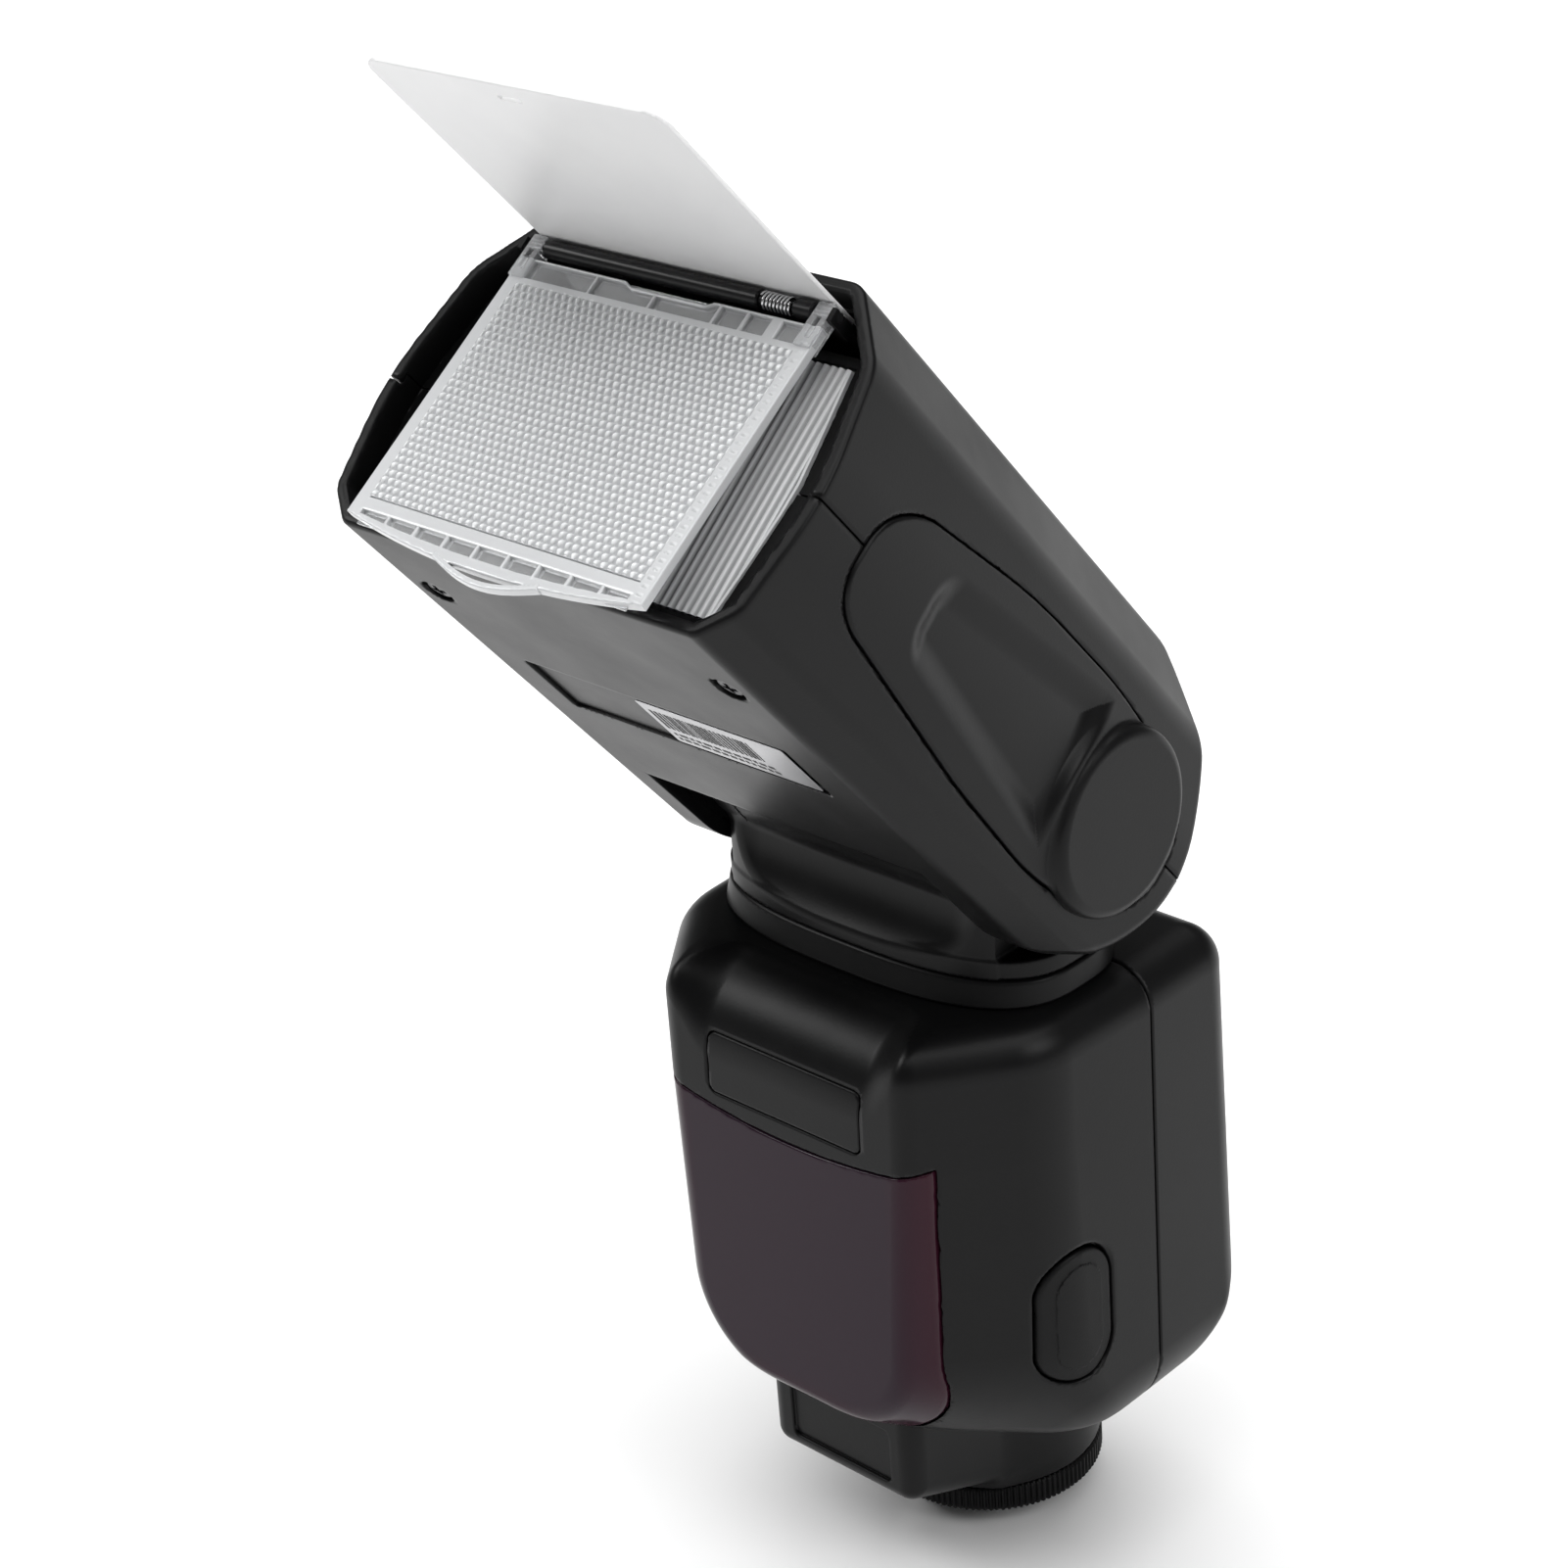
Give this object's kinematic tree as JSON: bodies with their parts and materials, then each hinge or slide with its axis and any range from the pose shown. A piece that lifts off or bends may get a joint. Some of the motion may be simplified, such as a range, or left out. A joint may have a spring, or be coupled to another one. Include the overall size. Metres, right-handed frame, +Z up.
{
  "type": "speedlight flash",
  "caption": "Hot-shoe speedlight flash with a panning, tilting head, slide-out bounce card, flip-down wide panel and dark red front window.",
  "frame": {"origin": "centre of the underside of the hot-shoe plate", "axes": "+Z up out of the camera shoe, -Y towards the front of the flash, +X to the side with the terminal cap"},
  "size_m": [0.0764, 0.1029, 0.2338],
  "materials": {
    "casing": "fine moulded grain, satin",
    "dark_plastic": "plain moulded, satin",
    "rubber": "soft touch, matt",
    "red_window": "polished, dark red tinted",
    "clear_plastic": "polished clear acrylic",
    "tube_glass": "clear quartz tube",
    "card": "white translucent film, satin",
    "steel": "brushed",
    "brass": "gold plated",
    "bright_metal": "bright reflector sheet",
    "circuit_board": "green solder mask",
    "cell_wrap": "plain wrapped cell",
    "capacitor_sleeve": "shrink sleeve",
    "display": "grey green display",
    "label": null
  },
  "bodies": {
    "body": {"shoe_plate": "steel", "shoe_post": "dark_plastic", "foot_block": "dark_plastic", "body_front_shell": "casing", "body_rear_shell": "casing", "receiver_window": "red_window", "af_cover": "casing", "socket_block": "dark_plastic", "battery_tray": "dark_plastic", "cell_1": "cell_wrap", "cell_2": "cell_wrap", "cell_3": "cell_wrap", "cell_4": "cell_wrap", "main_capacitor": "capacitor_sleeve", "power_board": "circuit_board", "control_board": "circuit_board", "display_window": "clear_plastic", "display_panel": "display", "neck_collar": "casing"},
    "terminal_cap": {"terminal_cap": "rubber"},
    "battery_door": {"battery_door": "casing", "door_contact": "brass"},
    "lock_wheel": {"lock_wheel": "dark_plastic"},
    "lock_pin": {"shoe_lock_pin": "steel"},
    "neck": {"yoke": "dark_plastic", "pan_clip": "steel", "tilt_axle": "steel"},
    "head": {"head_upper_shell": "casing", "head_lower_shell": "casing", "side_cover_left": "casing", "side_cover_right": "casing", "lens": "clear_plastic", "hinge_rod": "dark_plastic", "hinge_spring": "steel", "panel_carrier": "dark_plastic", "head_screw_left": "steel", "head_screw_right": "steel", "rating_label": "label", "zoom_motor": "steel"},
    "wide_panel": {"wide_panel": "clear_plastic"},
    "bounce_card": {"bounce_card": "card"},
    "zoom_drive": {"reflector": "bright_metal", "flash_tube": "tube_glass", "zoom_carriage": "dark_plastic"},
    "zoom_screw": {"zoom_screw": "steel"},
    "dial_ring": {"dial_ring": "dark_plastic"},
    "power_switch": {"power_switch": "dark_plastic"},
    "contact_pin_1": {"contact_pin_1": "brass"},
    "contact_pin_2": {"contact_pin_2": "brass"},
    "contact_pin_3": {"contact_pin_3": "brass"},
    "contact_pin_4": {"contact_pin_4": "brass"},
    "contact_pin_5": {"contact_pin_5": "brass"},
    "soft_key_1": {"soft_key_1": "rubber"},
    "soft_key_2": {"soft_key_2": "rubber"},
    "soft_key_3": {"soft_key_3": "rubber"},
    "soft_key_4": {"soft_key_4": "rubber"},
    "mode_button": {"mode_button": "rubber"},
    "test_button": {"test_button": "rubber"},
    "set_button": {"set_button": "rubber"}
  },
  "joints": [
    {"name": "head_pan", "type": "hinge", "parent": "body", "child": "neck", "pos_m": [0, -0.00947, 0.1031], "axis": [0, 0, 1], "range_deg": [-180, 180]},
    {"name": "head_tilt", "type": "hinge", "parent": "neck", "child": "head", "pos_m": [0, -0.00947, 0.12605], "axis": [-1, 0, 0], "range_deg": [-50.4, 39.6]},
    {"name": "card_slide", "type": "slide", "parent": "head", "child": "bounce_card", "axis": [0, -0.662, 0.7495], "range_m": [-0.038, 0]},
    {"name": "wide_panel_flip", "type": "hinge", "parent": "head", "child": "wide_panel", "pos_m": [0, -0.0445, 0.20362], "axis": [-1, 0, 0], "range_deg": [0, 83], "stiffness_Nm_per_rad": 0.002, "springref_deg": -17.19},
    {"name": "zoom_slide", "type": "slide", "parent": "head", "child": "zoom_drive", "axis": [0, -0.6374, 0.7705], "range_m": [0, 0.015]},
    {"name": "zoom_screw_turn", "type": "hinge", "parent": "head", "child": "zoom_screw", "pos_m": [0.0276, -0.01833, 0.11872], "axis": [0, -0.6374, 0.7705], "range_deg": [0, 900]},
    {"name": "lock_wheel_turn", "type": "hinge", "parent": "body", "child": "lock_wheel", "pos_m": [0, 0, 0.0054], "axis": [0, 0, 1], "range_deg": [0, 300]},
    {"name": "lock_pin_slide", "type": "slide", "parent": "body", "child": "lock_pin", "axis": [0, 0, -1], "range_m": [0, 0.0022]},
    {"name": "terminal_cap_swing", "type": "hinge", "parent": "body", "child": "terminal_cap", "pos_m": [0.0357, -0.0112, 0.0516], "axis": [0, 0, 1], "range_deg": [0, 100]},
    {"name": "battery_door_swing", "type": "hinge", "parent": "body", "child": "battery_door", "pos_m": [-0.0342, -0.0035, 0.0735], "axis": [0, 0, -1], "range_deg": [0, 100]},
    {"name": "contact_pin_1_press", "type": "slide", "parent": "body", "child": "contact_pin_1", "axis": [0, 0, 1], "range_m": [0, 0.0006], "stiffness_N_per_m": 400},
    {"name": "contact_pin_2_press", "type": "slide", "parent": "body", "child": "contact_pin_2", "axis": [0, 0, 1], "range_m": [0, 0.0006], "stiffness_N_per_m": 400},
    {"name": "contact_pin_3_press", "type": "slide", "parent": "body", "child": "contact_pin_3", "axis": [0, 0, 1], "range_m": [0, 0.0006], "stiffness_N_per_m": 400},
    {"name": "contact_pin_4_press", "type": "slide", "parent": "body", "child": "contact_pin_4", "axis": [0, 0, 1], "range_m": [0, 0.0006], "stiffness_N_per_m": 400},
    {"name": "contact_pin_5_press", "type": "slide", "parent": "body", "child": "contact_pin_5", "axis": [0, 0, 1], "range_m": [0, 0.0006], "stiffness_N_per_m": 400},
    {"name": "soft_key_1_press", "type": "slide", "parent": "body", "child": "soft_key_1", "axis": [0, -1, 0], "range_m": [0, 0.0008], "stiffness_N_per_m": 600},
    {"name": "soft_key_2_press", "type": "slide", "parent": "body", "child": "soft_key_2", "axis": [0, -1, 0], "range_m": [0, 0.0008], "stiffness_N_per_m": 600},
    {"name": "soft_key_3_press", "type": "slide", "parent": "body", "child": "soft_key_3", "axis": [0, -1, 0], "range_m": [0, 0.0008], "stiffness_N_per_m": 600},
    {"name": "soft_key_4_press", "type": "slide", "parent": "body", "child": "soft_key_4", "axis": [0, -1, 0], "range_m": [0, 0.0008], "stiffness_N_per_m": 600},
    {"name": "mode_button_press", "type": "slide", "parent": "body", "child": "mode_button", "axis": [0, -1, 0], "range_m": [0, 0.0008], "stiffness_N_per_m": 600},
    {"name": "test_button_press", "type": "slide", "parent": "body", "child": "test_button", "axis": [0, -1, 0], "range_m": [0, 0.0008], "stiffness_N_per_m": 600},
    {"name": "set_button_press", "type": "slide", "parent": "body", "child": "set_button", "axis": [0, -1, 0], "range_m": [0, 0.0008], "stiffness_N_per_m": 600},
    {"name": "dial_ring_turn", "type": "hinge", "parent": "body", "child": "dial_ring", "pos_m": [0, 0.0166, 0.0435], "axis": [0, 1, 0], "continuous": true},
    {"name": "power_switch_slide", "type": "slide", "parent": "body", "child": "power_switch", "axis": [1, 0, 0], "range_m": [0, 0.004]}
  ],
  "couplings": [
    {"joint": "zoom_screw_turn", "follows": "zoom_slide", "rad_per_m": 1047.2},
    {"joint": "lock_pin_slide", "follows": "lock_wheel_turn", "m_per_rad": 0.00042016}
  ]
}
